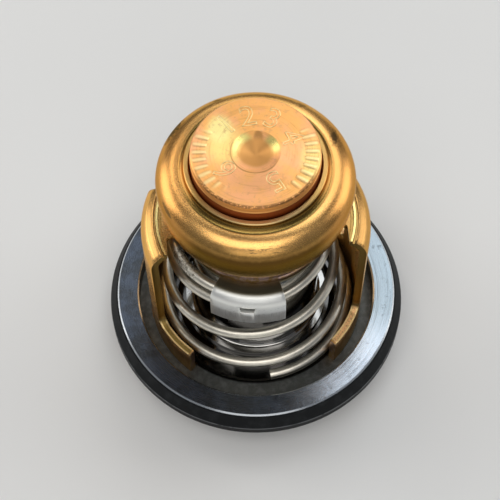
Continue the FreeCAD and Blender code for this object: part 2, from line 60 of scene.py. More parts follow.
MM = 0.001
HEAD_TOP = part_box("capsule_cup")[1].z
SPRING_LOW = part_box("main_spring")[0].z
SPRING_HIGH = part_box("main_spring")[1].z
LIFT = 10.0 * MM                  # travel of the valve
SPRING_ROOM = 0.02 * MM           # the open spring is this much shorter than the room it has
ARM_TURN = math.radians(4.0)      # direction of the frame's arms


# Places that the finishes paint by, in millimetres and degrees

def top(node):
    """Height of a CAD node's top."""
    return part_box(node)[1].z / MM


def reach(node):
    """Outside radius of a round CAD node."""
    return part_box(node)[1].x / MM


HEAD_Z = top("capsule_cup")
HEAD_R = reach("capsule_cup") - 2.45         # the face of the head ends inside the crimped collar
DIMPLE_R = 4.9
RING_Z = top("bypass_ring")
RING_R = reach("bypass_ring")
COLLAR_R = 14.1                              # outside of the bypass ring's collar
CROWN_Z = top("frame")
ARM_IN = reach("valve_plate") + 0.3          # inside of the frame's arms
ARM_R = ARM_IN + 1.6                         # outside of the arms
ARM_HALF = 22.4                              # half the angle that an arm spans
FOOT_HALF = 48.24                            # half the angle that a foot spans
FACE_Z = top("flange")
FOOT_Z = FACE_Z + 4.4                        # top of the feet
FLANGE_R = reach("flange")
RECESS_R = ARM_R + 2.7                       # wall of the recess that the feet stand in
SEAL_R = reach("seal_ring")
LIP_Z = FACE_Z - 3.3                         # upper edge of the seal's upright band
PLATE_Z = top("valve_plate")
RETAINER_Z = top("spring_retainer")
STRAP_R = 19.6                               # outside of the retainer's straps
STRAP_TURN = -5.8                            # direction of the straps from the Y axis


# Sizes and colours that a user would change

def length(name, description, millimetres):
    return FloatProperty(name=name, description=description, default=millimetres * MM,
                         unit="LENGTH", subtype="DISTANCE", precision=5)


def angle(name, description, degrees):
    return FloatProperty(name=name, description=description, default=math.radians(degrees),
                         unit="ROTATION", subtype="ANGLE")


def number(name, description, value):
    return FloatProperty(name=name, description=description, default=value)


def share(name, description, value):
    return FloatProperty(name=name, description=description, default=value, subtype="FACTOR")


def colour(name, description, rgb):
    return FloatVectorProperty(name=name, description=description, default=rgb, size=3, subtype="COLOR",
                               min=0.0, max=1.0)


class SpringSizes(bpy.types.PropertyGroup):
    wire: length("Wire", "Diameter of the spring wire", 2.3)
    low_radius: length("Low radius", "Mean radius of the lowest turn", 21.35)
    top_radius: length("Top radius", "Mean radius of the top turn", 16.4)
    turns: number("Turns", "Number of turns from end to end", 3.98)
    start: angle("Start", "Direction of the lower wire end", -82.0)
    low_turn: angle("Low turn", "Angle of slow rise at the bottom", 306.0)
    top_turn: angle("Top turn", "Angle of closed turn at the top", 228.0)
    ramp: angle("Ramp", "Angle over which the pitch changes", 120.0)
    low_pitch: share("Low pitch", "Pitch of the lower turn as a share of the free pitch", 0.44)
    top_pitch: share("Top pitch", "Pitch of the top turn as a share of the free pitch", 0.10)
    lean: length("Lean", "Sideways offset of the top turn towards -X", 1.2)
    bow: length("Bow", "Extra sideways bow at mid-height", 0.2)
    cone_power: number("Cone power", "How the radius narrows with height", 0.92)
    closed_share: share("Closed share", "Height with the valve open, against the height at rest",
                        1.0 - (LIFT + SPRING_ROOM) / (SPRING_HIGH - SPRING_LOW))
    stations: IntProperty(name="Stations", description="Points along the wire", default=640)
    sides: IntProperty(name="Sides", description="Points round the wire", default=28)


class HeadSizes(bpy.types.PropertyGroup):
    ridges: IntProperty(name="Ridges", description="Number of ridges round the copper head", default=40)
    ridge_radius: length("Ridge radius", "Radius at the middle of the ridges", 11.0)
    ridge_length: length("Ridge length", "Radial length of a ridge", 3.0)
    ridge_height: length("Ridge height", "Height of a ridge above the head", 0.10)
    ridge_sink: length("Ridge sink", "Depth of the ridges' edges under the head's face", 0.03)
    digit_height: length("Digit height", "Height of the stamped digits", 4.5)
    digit_line: length("Digit line", "Radius of the raised line round a digit", 0.17)


class Colours(bpy.types.PropertyGroup):
    copper: colour("Copper", "Machined copper of the capsule", (0.97, 0.48, 0.15))
    brass: colour("Brass", "Satin brass of the frame and ring", (0.93, 0.52, 0.17))
    flange: colour("Flange", "Turned metal of the flange", (0.073, 0.081, 0.090))
    stainless: colour("Stainless", "Stainless sheet", (0.58, 0.57, 0.55))
    spring: colour("Spring wire", "Drawn stainless wire", (0.76, 0.72, 0.62))
    rubber: colour("Rubber", "Black rubber of the seal", (0.008, 0.009, 0.010))
    floor: colour("Floor", "Pale floor", (0.78, 0.78, 0.77))


class CameraSizes(bpy.types.PropertyGroup):
    place_x: length("Place X", "Camera position along X", -1.28)
    place_y: length("Place Y", "Camera position along Y", -137.65)
    place_z: length("Place Z", "Camera height", 281.99)
    elevation: angle("Elevation", "Camera elevation above the horizon", 61.21)
    roll: angle("Roll", "Camera roll", -0.63)
    lens: number("Lens", "Focal length in millimetres on a 36 mm frame", 93.6)


# Shader trees written as expressions

SLANT = 1.37                      # how much a height counts against a radius in turned lines
TINY = 0.01                       # keeps a division near the axis sound


class Value:
    """An output in a material's node tree. Arithmetic on it adds Math nodes."""

    def __init__(self, finish, socket):
        self.finish = finish
        self.socket = socket

    def maths(self, operation, *values):
        return self.finish.node("ShaderNodeMath", {"operation": operation}, dict(enumerate(values)))

    def __add__(self, other):
        return self.maths("ADD", self, other)

    def __sub__(self, other):
        return self.maths("SUBTRACT", self, other)

    def __rsub__(self, other):
        return self.maths("SUBTRACT", other, self)

    def __mul__(self, other):
        return self.maths("MULTIPLY", self, other)

    def __truediv__(self, other):
        return self.maths("DIVIDE", self, other)

    def __pow__(self, other):
        return self.maths("POWER", self, other)

    def __abs__(self):
        return self.maths("ABSOLUTE", self)

    __radd__ = __add__

    def most(self, other):
        return self.maths("MAXIMUM", self, other)

    def rise(self, low, high, start=0.0, end=1.0):
        """Smooth step from start at low to end at high."""
        return self.finish.node("ShaderNodeMapRange", {"interpolation_type": "SMOOTHSTEP"},
                                {"Value": self, "From Min": low, "From Max": high,
                                 "To Min": start, "To Max": end})

    def fall(self, low, high):
        """Smooth step from 1 at low to 0 at high."""
        return self.rise(low, high, 1.0, 0.0)

    def between(self, low, full, still, high):
        """0 up to low, 1 from full to still, and 0 again from high."""
        return self.rise(low, full) * self.fall(still, high)


class Finish:
    """A material on object coordinates in millimetres, with its Principled shader."""

    def __init__(self, name, **constants):
        self.material = bpy.data.materials.new(name)
        self.material.use_nodes = True
        self.tree = self.material.node_tree
        self.tree.nodes.clear()
        self.shader = self.tree.nodes.new("ShaderNodeBsdfPrincipled")
        output = self.tree.nodes.new("ShaderNodeOutputMaterial")
        self.tree.links.new(self.shader.outputs["BSDF"], output.inputs["Surface"])
        for key, value in constants.items():
            self.shader.inputs[key.replace("_", " ")].default_value = value
        place = self.node("ShaderNodeTexCoord", output="Object")
        self.place = self.vector_maths("SCALE", {0: place, "Scale": 1 / MM})
        self.x, self.y, self.z = (
            self.node("ShaderNodeSeparateXYZ", sockets={0: self.place}, output=axis) for axis in "XYZ")
        self.radius = (self.x * self.x + self.y * self.y) ** 0.5

    def node(self, kind, settings=None, sockets=None, output=0):
        made = self.tree.nodes.new(kind)
        for key, value in (settings or {}).items():
            setattr(made, key, value)
        for key, value in (sockets or {}).items():
            if isinstance(value, Value):
                self.tree.links.new(value.socket, made.inputs[key])
            else:
                made.inputs[key].default_value = value
        return Value(self, made.outputs[output])

    def vector(self, x, y, z):
        return self.node("ShaderNodeCombineXYZ", sockets={0: x, 1: y, 2: z})

    def vector_maths(self, operation, sockets, output=0):
        return self.node("ShaderNodeVectorMath", {"operation": operation}, sockets, output)

    def heading(self, north, east):
        """Direction in degrees from east towards north."""
        radians = self.node("ShaderNodeMath", {"operation": "ARCTAN2"}, {0: north, 1: east})
        return radians * math.degrees(1)

    def noise(self, scale, detail=3.0, rough=0.5, vector=None):
        return self.node("ShaderNodeTexNoise", {"noise_dimensions": "3D"},
                         {"Vector": vector or self.place, "Scale": scale, "Detail": detail,
                          "Roughness": rough})

    def drawn(self, across, along, detail=4.0, rough=0.65):
        """Noise that is finer across than along Z, as a press or a rub leaves it."""
        cells = self.vector(self.x * across, self.y * across, self.z * along)
        return self.noise(1.0, detail, rough, cells)

    def turned(self, across, around, detail=3.0, rough=0.6):
        """Noise in rings about Z, as a lathe leaves them, on flat and on upright faces."""
        run = self.radius + self.z * SLANT
        east = self.x / self.radius.most(TINY)
        north = self.y / self.radius.most(TINY)
        return self.noise(1.0, detail, rough, self.vector(run * across, east * around, north * around))

    def spot(self, centre, size, soft=0.5, ragged=0.0):
        """1 within an ellipsoid about centre, 0 outside; if ragged, noise breaks up its edge."""
        away = self.vector_maths("SUBTRACT", {0: self.place, 1: centre})
        away = self.vector_maths("DIVIDE", {0: away, 1: size})
        far = self.vector_maths("LENGTH", {0: away}, output="Value")
        if ragged:
            far = far + (self.noise(1.6, 4.0, 0.6) - 0.5) * ragged
        return far.fall(1.0 - soft, 1.0)

    def mix(self, factor, a, b):
        return self.node("ShaderNodeMix", {"data_type": "RGBA"},
                         {0: factor, 6: self.rgba(a), 7: self.rgba(b)}, output=2)

    def paint(self, tone, *layers):
        """Lays colours over a tone in turn, each where its own mask is 1."""
        for mask, colour_on_top in layers:
            tone = self.mix(mask, tone, colour_on_top)
        return tone

    def rgba(self, value):
        return value if isinstance(value, Value) else (*value, 1.0)

    def bump(self, height, distance, strength):
        return self.node("ShaderNodeBump", sockets={"Height": height, "Distance": distance * MM,
                                                    "Strength": strength})

    def feed(self, **links):
        """Links values to the shader's sockets and returns the material."""
        for key, value in links.items():
            self.tree.links.new(value.socket, self.shader.inputs[key.replace("_", " ")])
        return self.material


# Finishes

BRASS_EDGE = (1.0, 0.80, 0.50, 1.0)          # tint of brass at grazing angles


def shade(rgb, factor):
    """A colour made darker or lighter by a factor."""
    return tuple(min(1.0, channel * factor) for channel in rgb)


def blend(a, b, factor):
    """A colour between two others."""
    return tuple(x + (y - x) * factor for x, y in zip(a, b))


def copper_finish(rgb):
    """Turned copper: orange face with painted yellow glints, a side in painted shade, painted red-brown
    shade in the gap below.
    """
    f = Finish("copper", Metallic=1.0, Anisotropic=0.55, Anisotropic_Rotation=0.25)
    rings = f.turned(3.0, 1.5)
    blotch = f.noise(0.16, 3.0, 0.6)
    fine = f.noise(6.0, 4.0, 0.6)
    stain = f.noise(0.9, 5.0, 0.65)
    down = HEAD_Z - f.z

    def on_face(x, y, wide, deep, soft):
        return f.spot((x, y, HEAD_Z), (wide, deep, 3.0), soft, 0.3)

    cone = f.radius.fall(DIMPLE_R - 0.15, DIMPLE_R + 0.05)

    def in_dimple(x, y, wide, deep, soft):
        return f.spot((x, y, HEAD_Z - 0.6), (wide, deep, 2.0), soft) * cone

    # Painted highlights left and right in the dimple, and painted shade between them at the back.
    painted_highlight_lobes = in_dimple(-2.8, 2.5, 2.9, 2.9, 0.6).most(in_dimple(3.5, 1.9, 2.5, 2.7, 0.6))
    painted_shade_wedge = in_dimple(0.6, 3.4, 1.2, 2.6, 0.5)
    # Painted shade along the lower left of the dimple's edge.
    painted_shade_brim = f.radius.between(DIMPLE_R - 0.3, DIMPLE_R - 0.1, DIMPLE_R, DIMPLE_R + 0.2)
    painted_shade_brim = painted_shade_brim * (f.x + f.y * 1.4).rise(1.5, -2.5)
    nick = f.radius.rise(HEAD_R - 0.65, HEAD_R - 0.4) * down.rise(0.55, 0.35) * f.y.rise(-2.0, -8.0)
    nick = nick * f.noise(1.7, 4.0, 0.75).rise(0.38, 0.50)
    # Painted shade on the side below the face.
    side = down.rise(0.2, 0.5)
    pink = blend(rgb, (0.97, 0.46, 0.24), 0.7)
    yellow = (1.0, 0.74, 0.26)
    tone = f.paint(
        f.mix(blotch.rise(0.38, 0.62), pink, rgb),
        # Painted highlights: yellow glints on the left and the right of the turned face.
        (on_face(-6.2, 1.8, 5.6, 6.8, 0.8) * 0.85, yellow),
        (on_face(10.9, -2.6, 3.0, 7.0, 0.7) * 0.75, yellow),
        (on_face(-7.0, 5.4, 3.2, 4.2, 0.6) * 0.8, (1.0, 0.88, 0.36)),
        (painted_highlight_lobes, (1.0, 0.82, 0.27)),
        (painted_shade_wedge * 0.8, shade(rgb, 0.42)),
        (fine.rise(0.55, 0.75) * 0.22, shade(rgb, 0.7)),
        (stain.rise(0.54, 0.66) * 0.42, (0.66, 0.33, 0.15)),
        (on_face(0.5, -7.0, 7.5, 4.0, 0.9) * 0.38, (0.62, 0.30, 0.13)),
        (rings.rise(0.52, 0.66) * 0.30, shade(rgb, 0.62)),
        # Painted highlight on the raised ridges and digits.
        (down.rise(0.0, -0.08) * 0.65, (1.0, 0.80, 0.38)),
        (painted_shade_brim * 0.7, shade(rgb, 0.45)),
        (nick * 0.85, (0.30, 0.14, 0.05)),
        (side, shade(rgb, 0.72)),
        # Painted shade, red-brown, in the gap below the head.
        (down.rise(1.65, 1.9), (0.24, 0.055, 0.012)),
    )
    rough = 0.27 - painted_highlight_lobes * 0.10 + rings * 0.16 + fine * 0.08 + side * 0.1
    height = rings * 0.5 + fine * 0.4 + nick * 0.8
    return f.feed(Base_Color=tone, Roughness=rough, Normal=f.bump(height, 0.03, 0.5))


def brass_base(f, rgb):
    """Cloudy satin brass with fine brown specks: its colour, roughness and relief."""
    cloud = f.noise(0.11, 4.0, 0.6)
    fine = f.noise(4.5, 5.0, 0.65)
    grain = f.noise(18.0, 3.0, 0.6)
    tone = f.mix(cloud.rise(0.36, 0.66), shade(rgb, 0.86), rgb)
    tone = f.mix(fine.rise(0.58, 0.72) * 0.28, tone, (0.42, 0.24, 0.09))
    rough = 0.17 + cloud * 0.12 + fine.rise(0.5, 0.75) * 0.15
    return tone, rough, fine * 0.5 + grain * 0.35


def brass_finish(name, rgb):
    """Plain satin brass."""
    f = Finish(name, Metallic=1.0)
    tone, rough, height = brass_base(f, rgb)
    return f.feed(Base_Color=tone, Roughness=rough, Normal=f.bump(height, 0.04, 0.45))


def ring_finish(rgb):
    """The bypass ring: pale collar, olive fillet in painted shade, painted dark reflection on the lower
    part, painted shade at the sides, worn patches and scratches.
    """
    f = Finish("ring_brass", Metallic=1.0, Specular_Tint=BRASS_EDGE)
    brass, rough, height = brass_base(f, rgb)
    down = RING_Z - f.z
    aside = abs(f.x)
    collar = f.radius.fall(COLLAR_R, COLLAR_R + 0.1) * down.rise(0.3, 0.1)
    # The collar is pale, with painted shade darkening it towards the left and right.
    collar_tone_with_side_shade = f.mix(aside.rise(5.0, 11.5), (0.96, 0.76, 0.38), (0.58, 0.38, 0.13))
    # Painted shade, olive-brown, in the concave fillet, with a painted highlight line along it.
    fillet = f.radius.between(COLLAR_R + 0.02, COLLAR_R + 0.2, COLLAR_R + 1.25, COLLAR_R + 1.65)
    line = f.radius.between(COLLAR_R + 0.85, COLLAR_R + 1.0, COLLAR_R + 1.1, COLLAR_R + 1.25)
    fillet_shade_tone = f.mix(line, (0.20, 0.12, 0.03), (0.45, 0.31, 0.09))
    # Painted dark reflection and shade on the lower part of the ring, strongest at the front.
    dark_reflection_drop = down - (f.noise(1.1, 5.0, 0.65) - 0.5) * 0.9
    front = f.y.rise(-3.0, -11.0, 0.62, 1.0)
    tool_line = down.between(10.4, 10.48, 10.58, 10.65)
    edge = down.rise(11.52, 11.62) * f.radius.rise(RING_R - 1.2, RING_R - 1.0)
    # Place below the ring's top, half sizes, softness, raggedness and strength of each worn patch
    patches = (
        ((-16.4, 10.4, 3.7), (3.3, 5.2, 2.3), 0.6, 1.9, 1.0),
        ((15.8, 7.2, 1.9), (1.2, 3.1, 1.5), 0.8, 1.9, 1.0),
        ((-7.7, 16.5, 2.4), (2.2, 1.0, 1.2), 0.9, 2.2, 0.7),
        ((9.6, 14.9, 2.1), (1.8, 1.0, 1.2), 0.9, 2.2, 0.6),
    )
    worn = 0.0
    for (x, y, below), size, soft, ragged, strength in patches:
        worn = (f.spot((x, y, RING_Z - below), size, soft, ragged) * strength).most(worn)
    scratch = f.spot((-17.4, -8.4, RING_Z - 3.8), (1.5, 3.2, 0.40), 0.3)
    scratch = scratch * f.noise(2.4, 3.0, 0.5).rise(0.32, 0.42)
    scuff = f.spot((2.0, -18.2, RING_Z - 2.8), (7.2, 1.8, 0.8), 0.5)
    scuff = scuff * f.drawn(0.8, 5.5, 4.0, 0.7).rise(0.54, 0.60)
    tone = f.paint(
        brass,
        (collar, collar_tone_with_side_shade),
        (fillet, fillet_shade_tone),
        (dark_reflection_drop.rise(2.2, 3.8) * front * 0.62, (0.52, 0.29, 0.07)),
        (dark_reflection_drop.rise(3.1, 5.0) * front * 0.94, (0.085, 0.042, 0.009)),
        # Painted shade on the left and right of the ring.
        (aside.rise(11.0, 16.5) * 0.70, (0.66, 0.31, 0.085)),
        (tool_line * 0.8, (0.12, 0.07, 0.03)),
        (edge, (0.98, 0.62, 0.44)),
        (worn * 0.92, (0.060, 0.040, 0.020)),
        (scratch.most(scuff) * 0.85, (0.20, 0.12, 0.05)),
    )
    rough = rough + collar * 0.1 + worn * 0.2 + scuff * 0.1
    height = height - worn * 0.8 - scratch
    return f.feed(Base_Color=tone, Roughness=rough, Normal=f.bump(height, 0.04, 0.5))


def frame_finish(rgb):
    """The pressed frame: sheared edges are dark, with painted shade and highlights; the feet are rough
    on top, painted lit orange on the right and shaded on the left.
    """
    f = Finish("frame_brass", Metallic=1.0, Specular_Tint=BRASS_EDGE)
    brass, rough, height = brass_base(f, rgb)
    east = abs(f.x * math.cos(ARM_TURN) + f.y * math.sin(ARM_TURN))
    north = abs(f.y * math.cos(ARM_TURN) - f.x * math.sin(ARM_TURN))
    aside = f.heading(north, east)
    rag = f.noise(2.6, 5.0, 0.7)
    drag = f.drawn(3.2, 0.22)
    low = f.z.rise(FOOT_Z + 12.6, FOOT_Z + 1.6)
    right = f.x.rise(-2.0, 2.0)
    # Painted shade on the crown's right shoulder.
    shaded_right_shoulder = f.x.rise(12.0, 19.0) * f.z.rise(CROWN_Z - 8.6, CROWN_Z - 3.6)
    # Painted shade in the crown's groove, with a painted highlight on the bead.
    groove = f.z.rise(CROWN_Z - 1.2, CROWN_Z - 0.3)
    groove = groove * f.radius.between(ARM_R - 4.8, ARM_R - 4.4, ARM_R - 3.05, ARM_R - 2.75)
    bead = f.radius.between(ARM_R - 3.95, ARM_R - 3.9, ARM_R - 3.4, ARM_R - 3.3)
    arm = aside.rise(ARM_HALF - 0.25, ARM_HALF - 0.1) * f.z.rise(FOOT_Z - 0.18, FOOT_Z - 0.06)
    foot = f.z.between(FOOT_Z - 0.18, FOOT_Z - 0.06, FOOT_Z + 0.2, FOOT_Z + 1.0) * arm
    end = aside.rise(FOOT_HALF - 0.39, FOOT_HALF - 0.19)
    # Painted highlights along the rims of the feet.
    rim_highlight = f.radius.rise(ARM_IN + 0.5, ARM_IN + 0.2).most(f.radius.rise(ARM_R - 0.45, ARM_R - 0.2))
    skin_tone = f.mix(drag.rise(0.30, 0.74), (0.54, 0.36, 0.22), (0.68, 0.46, 0.28))
    groove_shade_tone = f.mix(bead, (0.30, 0.22, 0.07), (0.90, 0.70, 0.28))
    # The arms' sheared faces are dark brown; the right arm's is painted darker still as shade.
    cut_face_and_shade_tone = f.mix(f.radius.rise(ARM_IN + 0.5, ARM_R - 0.1), (0.30, 0.20, 0.07), (0.15, 0.10, 0.035))
    cut_face_and_shade_tone = f.mix(right * 0.7, cut_face_and_shade_tone, (0.10, 0.06, 0.02))
    # Foot tops painted lit orange on the right and shaded brown on the left, with rough dark specks and
    # painted highlights on the rims.
    foot_light_and_shade_tone = f.paint(
        f.mix(right, (0.34, 0.23, 0.07), (1.0, 0.60, 0.28)),
        (rag.rise(0.46, 0.60) * 0.55, (0.17, 0.10, 0.035)),
        (rim_highlight * 0.85, (1.0, 0.76, 0.36)),
    )
    end_tone = f.mix(f.noise(0.9, 3.0, 0.6).rise(0.4, 0.6), (0.46, 0.30, 0.16), (0.56, 0.40, 0.36))
    tone = f.paint(
        brass,
        (low * f.radius.rise(ARM_R - 0.3, ARM_R - 0.1) * 0.7, skin_tone),
        # Painted shade on the arms' inner faces and everything inside them.
        (f.radius.rise(ARM_IN + 0.2, ARM_IN + 0.1) * 0.6, shade(rgb, 0.45)),
        # Painted shade round the guide eye, under the ring.
        (f.radius.rise(ARM_R - 5.9, ARM_R - 7.9) * 0.9, (0.10, 0.055, 0.018)),
        (shaded_right_shoulder * 0.45, shade(rgb, 0.4)),
        (groove, groove_shade_tone),
        (arm, cut_face_and_shade_tone),
        (foot, foot_light_and_shade_tone),
        (end, end_tone),
    )
    rough = rough + arm * 0.08 + foot * 0.10 + low * 0.06
    height = height + foot * rag * 8.0 + arm * drag * 0.8
    return f.feed(Base_Color=tone, Roughness=rough, Normal=f.bump(height, 0.04, 0.5))


def flange_finish(rgb):
    """Turned face with fine rings, a painted reflection lighter to the right, painted highlights on each
    chamfer and a dull recess floor in painted shade.
    """
    f = Finish("flange_metal", Metallic=1.0, Anisotropic=0.45, Anisotropic_Rotation=0.25)
    rings = f.turned(5.0, 2.2, 4.0, 0.7)
    broad = f.turned(0.6, 1.2, 2.0, 0.5)
    blotch = f.noise(0.10, 4.0, 0.65)
    mottle = f.noise(0.75, 5.0, 0.7)
    # Painted reflection: the right side lighter and bluer, most towards the front.
    right = (f.x + f.y * 0.12 + (blotch - 0.5) * 12.0).rise(0.0, 14.0)
    painted_reflection_tone = f.mix(f.y.rise(-4.0, -20.0), (0.33, 0.39, 0.43), (0.62, 0.69, 0.78))
    # Painted highlights on the chamfer of the recess and the one at the outer edge.
    chamfer_highlights = f.radius.rise(RECESS_R + 0.36, RECESS_R + 0.26) * f.z.rise(FACE_Z - 0.45, FACE_Z - 0.25)
    chamfer_highlights = chamfer_highlights.most(f.radius.rise(FLANGE_R - 0.38, FLANGE_R - 0.26))
    recess = f.z.fall(FACE_Z - 0.8, FACE_Z - 0.5) * f.radius.fall(RECESS_R + 0.9, RECESS_R + 1.1)
    # Painted shade in the recess, mottled.
    recess_shade_tone = f.mix(mottle.rise(0.4, 0.7), (0.085, 0.088, 0.082), (0.14, 0.145, 0.14))
    tone = f.paint(
        f.mix(blotch.rise(0.4, 0.6), shade(rgb, 0.88), blend(rgb, (0.12, 0.15, 0.21), 0.5)),
        (right * 0.85, painted_reflection_tone),
        (rings.rise(0.50, 0.68) * 0.40, shade(rgb, 0.5)),
        (mottle.rise(0.56, 0.70) * 0.35, shade(rgb, 0.42)),
        (chamfer_highlights * 0.8, (0.72, 0.76, 0.80)),
        (recess, recess_shade_tone),
    )
    rough = 0.17 + rings * 0.13 + broad * 0.06 + recess * 0.22 + mottle.rise(0.56, 0.7) * 0.08
    height = rings + mottle * recess * 0.8
    return f.feed(Base_Color=tone, Roughness=rough, Normal=f.bump(height, 0.03, 0.5))


def rubber_finish(name, rgb):
    """Black rubber with a little dust, and a painted highlight line, broken up by the dust noise, where
    the seal's taper ends.
    """
    f = Finish(name, Roughness=0.45, Specular_IOR_Level=0.11)
    dust = f.noise(0.35, 5.0, 0.7)
    grain = f.noise(7.0, 4.0, 0.7)
    # Painted highlight line along the edge where the taper ends, broken up by the dust noise.
    lip_highlight = f.radius.rise(SEAL_R - 0.2, SEAL_R - 0.1)
    lip_highlight = lip_highlight * f.z.between(LIP_Z - 0.18, LIP_Z - 0.08, LIP_Z + 0.08, LIP_Z + 0.2)
    tone = f.paint(
        rgb,
        (dust.rise(0.45, 0.75) * 0.45, (0.035, 0.038, 0.040)),
        (grain.rise(0.66, 0.75) * 0.22, (0.10, 0.10, 0.105)),
        (lip_highlight * dust.rise(0.3, 0.5), (0.14, 0.145, 0.15)),
    )
    return f.feed(Base_Color=tone, Roughness=0.42 + dust * 0.2, Normal=f.bump(grain, 0.06, 0.4))


def retainer_finish(rgb):
    """Stainless strip: flat ring and slot in painted shade, painted highlights on the bend and below the
    slot, drag lines down the straps.
    """
    f = Finish("retainer_stainless", Metallic=1.0)
    drag = f.drawn(4.5, 0.35)
    smear = f.noise(0.35, 5.0, 0.65)
    crease = f.drawn(0.64, 2.08, 4.0, 0.7)
    down = RETAINER_Z - f.z
    off_middle = abs(abs(f.heading(f.y, f.x) - STRAP_TURN) - 90.0)
    # Painted shade in the slot.
    slot = down.between(2.72, 2.78, 3.52, 3.57) * off_middle.rise(4.6, 4.5)
    # Painted highlight on the pressed-out strip below the slot.
    tab_highlight = f.radius.rise(STRAP_R + 0.06, STRAP_R + 0.14) * down.rise(4.9, 4.1)
    tone = f.paint(
        rgb,
        (drag.rise(0.42, 0.68) * 0.6, shade(rgb, 0.62)),
        (smear.rise(0.45, 0.7) * 0.35, shade(rgb, 1.35)),
        # Painted highlight on the bend; painted shade on the flat ring inside it.
        (down.rise(5.9, 4.3) * 0.85, (0.92, 0.93, 0.90)),
        (f.radius.rise(STRAP_R - 1.0, STRAP_R - 2.2), (0.15, 0.135, 0.09)),
        (down.rise(5.0, 7.0) * 0.35, shade(rgb, 0.6)),
        (crease.rise(0.60, 0.66) * down.between(2.0, 3.5, 4.5, 6.5) * 0.5, (0.12, 0.12, 0.11)),
        (slot, (0.04, 0.038, 0.03)),
        (tab_highlight * 0.8, (0.95, 0.95, 0.92)),
    )
    rough = 0.30 + drag * 0.16 + smear * 0.06
    return f.feed(Base_Color=tone, Roughness=rough, Normal=f.bump(drag + crease * 0.8, 0.03, 0.5))


def mirror_finish(rgb):
    """Polished plate and sleeve; the plate is painted darker than the sleeve, as dark reflection and
    shade.
    """
    f = Finish("mirror_stainless", Metallic=1.0)
    smear = f.noise(0.25, 4.0, 0.6)
    lines = f.turned(5.0, 0.8, 3.0, 0.6)
    scratch = f.drawn(2.5, 0.25, 3.0, 0.6)
    tone = f.paint(
        f.mix(smear.rise(0.35, 0.7), shade(rgb, 0.88), rgb),
        # Painted dark reflection and shade on the plate.
        (f.z.rise(PLATE_Z + 1.1, PLATE_Z + 0.1) * 0.9, shade(rgb, 0.15)),
        (scratch.rise(0.58, 0.72) * 0.35, shade(rgb, 0.5)),
    )
    rough = 0.05 + smear * 0.05 + lines * 0.03
    return f.feed(Base_Color=tone, Roughness=rough, Normal=f.bump(lines, 0.004, 0.5))


def wire_finish(rgb):
    """Drawn wire with fine lines along it, small pits and a dragged patch on the top turn."""
    f = Finish("spring_wire", Metallic=1.0)
    grain = f.node("ShaderNodeAttribute", {"attribute_name": "wire_grain"}, output="Vector")
    lines = f.noise(1.0, 4.0, 0.65, grain)
    smear = f.noise(0.35, 4.0, 0.6)
    pits = f.noise(3.2, 5.0, 0.7)
    marks = f.spot((-14.5, -9.0, SPRING_HIGH / MM - 0.8), (4.5, 5.5, 1.6), 0.3)
    marks = marks * f.noise(1.6, 5.0, 0.75).rise(0.46, 0.58)
    tone = f.paint(
        f.mix(smear.rise(0.35, 0.7), shade(rgb, 0.86), shade(rgb, 1.08)),
        (lines.rise(0.50, 0.72) * 0.45, shade(rgb, 0.5)),
        (pits.rise(0.66, 0.74) * 0.75, (0.07, 0.06, 0.05)),
        (marks * 0.8, (0.09, 0.08, 0.06)),
    )
    rough = 0.24 + lines * 0.15 + smear * 0.05 + marks * 0.1
    height = lines + pits * 0.4 - marks * 3.0
    return f.feed(Base_Color=tone, Roughness=rough, Normal=f.bump(height, 0.02, 0.5))


def washer_finish(rgb):
    """Brushed stainless sheet."""
    f = Finish("washer_stainless", Metallic=1.0, Anisotropic=0.3)
    lines = f.turned(7.0, 1.0, 4.0, 0.7)
    smear = f.noise(0.3, 4.0, 0.6)
    fine = f.noise(9.0, 3.0, 0.6)
    tone = f.mix(smear.rise(0.35, 0.7), shade(rgb, 0.9), shade(rgb, 1.06))
    tone = f.mix(lines.rise(0.5, 0.75) * 0.35, tone, shade(rgb, 0.62))
    rough = 0.25 + lines * 0.16 + smear * 0.06
    return f.feed(Base_Color=tone, Roughness=rough, Normal=f.bump(lines + fine * 0.4, 0.02, 0.5))


def turned_finish(name, rgb, rough_low):
    """Plain turned metal with rings about the axis."""
    f = Finish(name, Metallic=1.0, Anisotropic=0.4, Anisotropic_Rotation=0.25)
    rings = f.turned(4.0, 1.0)
    smear = f.noise(0.4, 3.0, 0.6)
    tone = f.mix(smear.rise(0.4, 0.65), shade(rgb, 0.85), rgb)
    return f.feed(Base_Color=tone, Roughness=rough_low + rings * 0.12, Normal=f.bump(rings, 0.02, 0.4))


def wax_finish():
    """Cloudy wax with copper powder in it."""
    f = Finish("wax", Roughness=0.5)
    cloud = f.noise(0.5, 5.0, 0.6)
    tone = f.mix(cloud, (0.42, 0.22, 0.13), (0.62, 0.38, 0.26))
    return f.feed(Base_Color=tone, Roughness=0.4 + cloud * 0.2, Normal=f.bump(cloud, 0.1, 0.4))


# Mesh helpers

WELD = 0.001 * MM                 # points of a CAD mesh that are closer than this are one
SHARP = math.radians(40)          # edges that turn more than this are rounded


def dress(node, material, edge=0.0):
    """Gives a CAD node a finish, and rounds its sharp edges by a width in millimetres."""
    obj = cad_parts[node]
    for slot in obj.material_slots:
        slot.material = material
    if edge:
        weld = obj.modifiers.new("Weld", "WELD")
        weld.merge_threshold = WELD
        bevel = obj.modifiers.new("Bevel", "BEVEL")
        bevel.width = edge * MM
        bevel.segments = 2
        bevel.limit_method = "ANGLE"
        bevel.angle_limit = SHARP
        bevel.harden_normals = True


def plain_mesh(obj, name):
    """The evaluated object as a plain mesh piece; the object it came from is removed."""
    graph = bpy.context.evaluated_depsgraph_get()
    mesh = bpy.data.meshes.new_from_object(obj.evaluated_get(graph))
    bpy.data.objects.remove(obj)
    piece = bpy.data.objects.new(name, mesh)
    bpy.context.scene.collection.objects.link(piece)
    return piece


# Geometry node trees

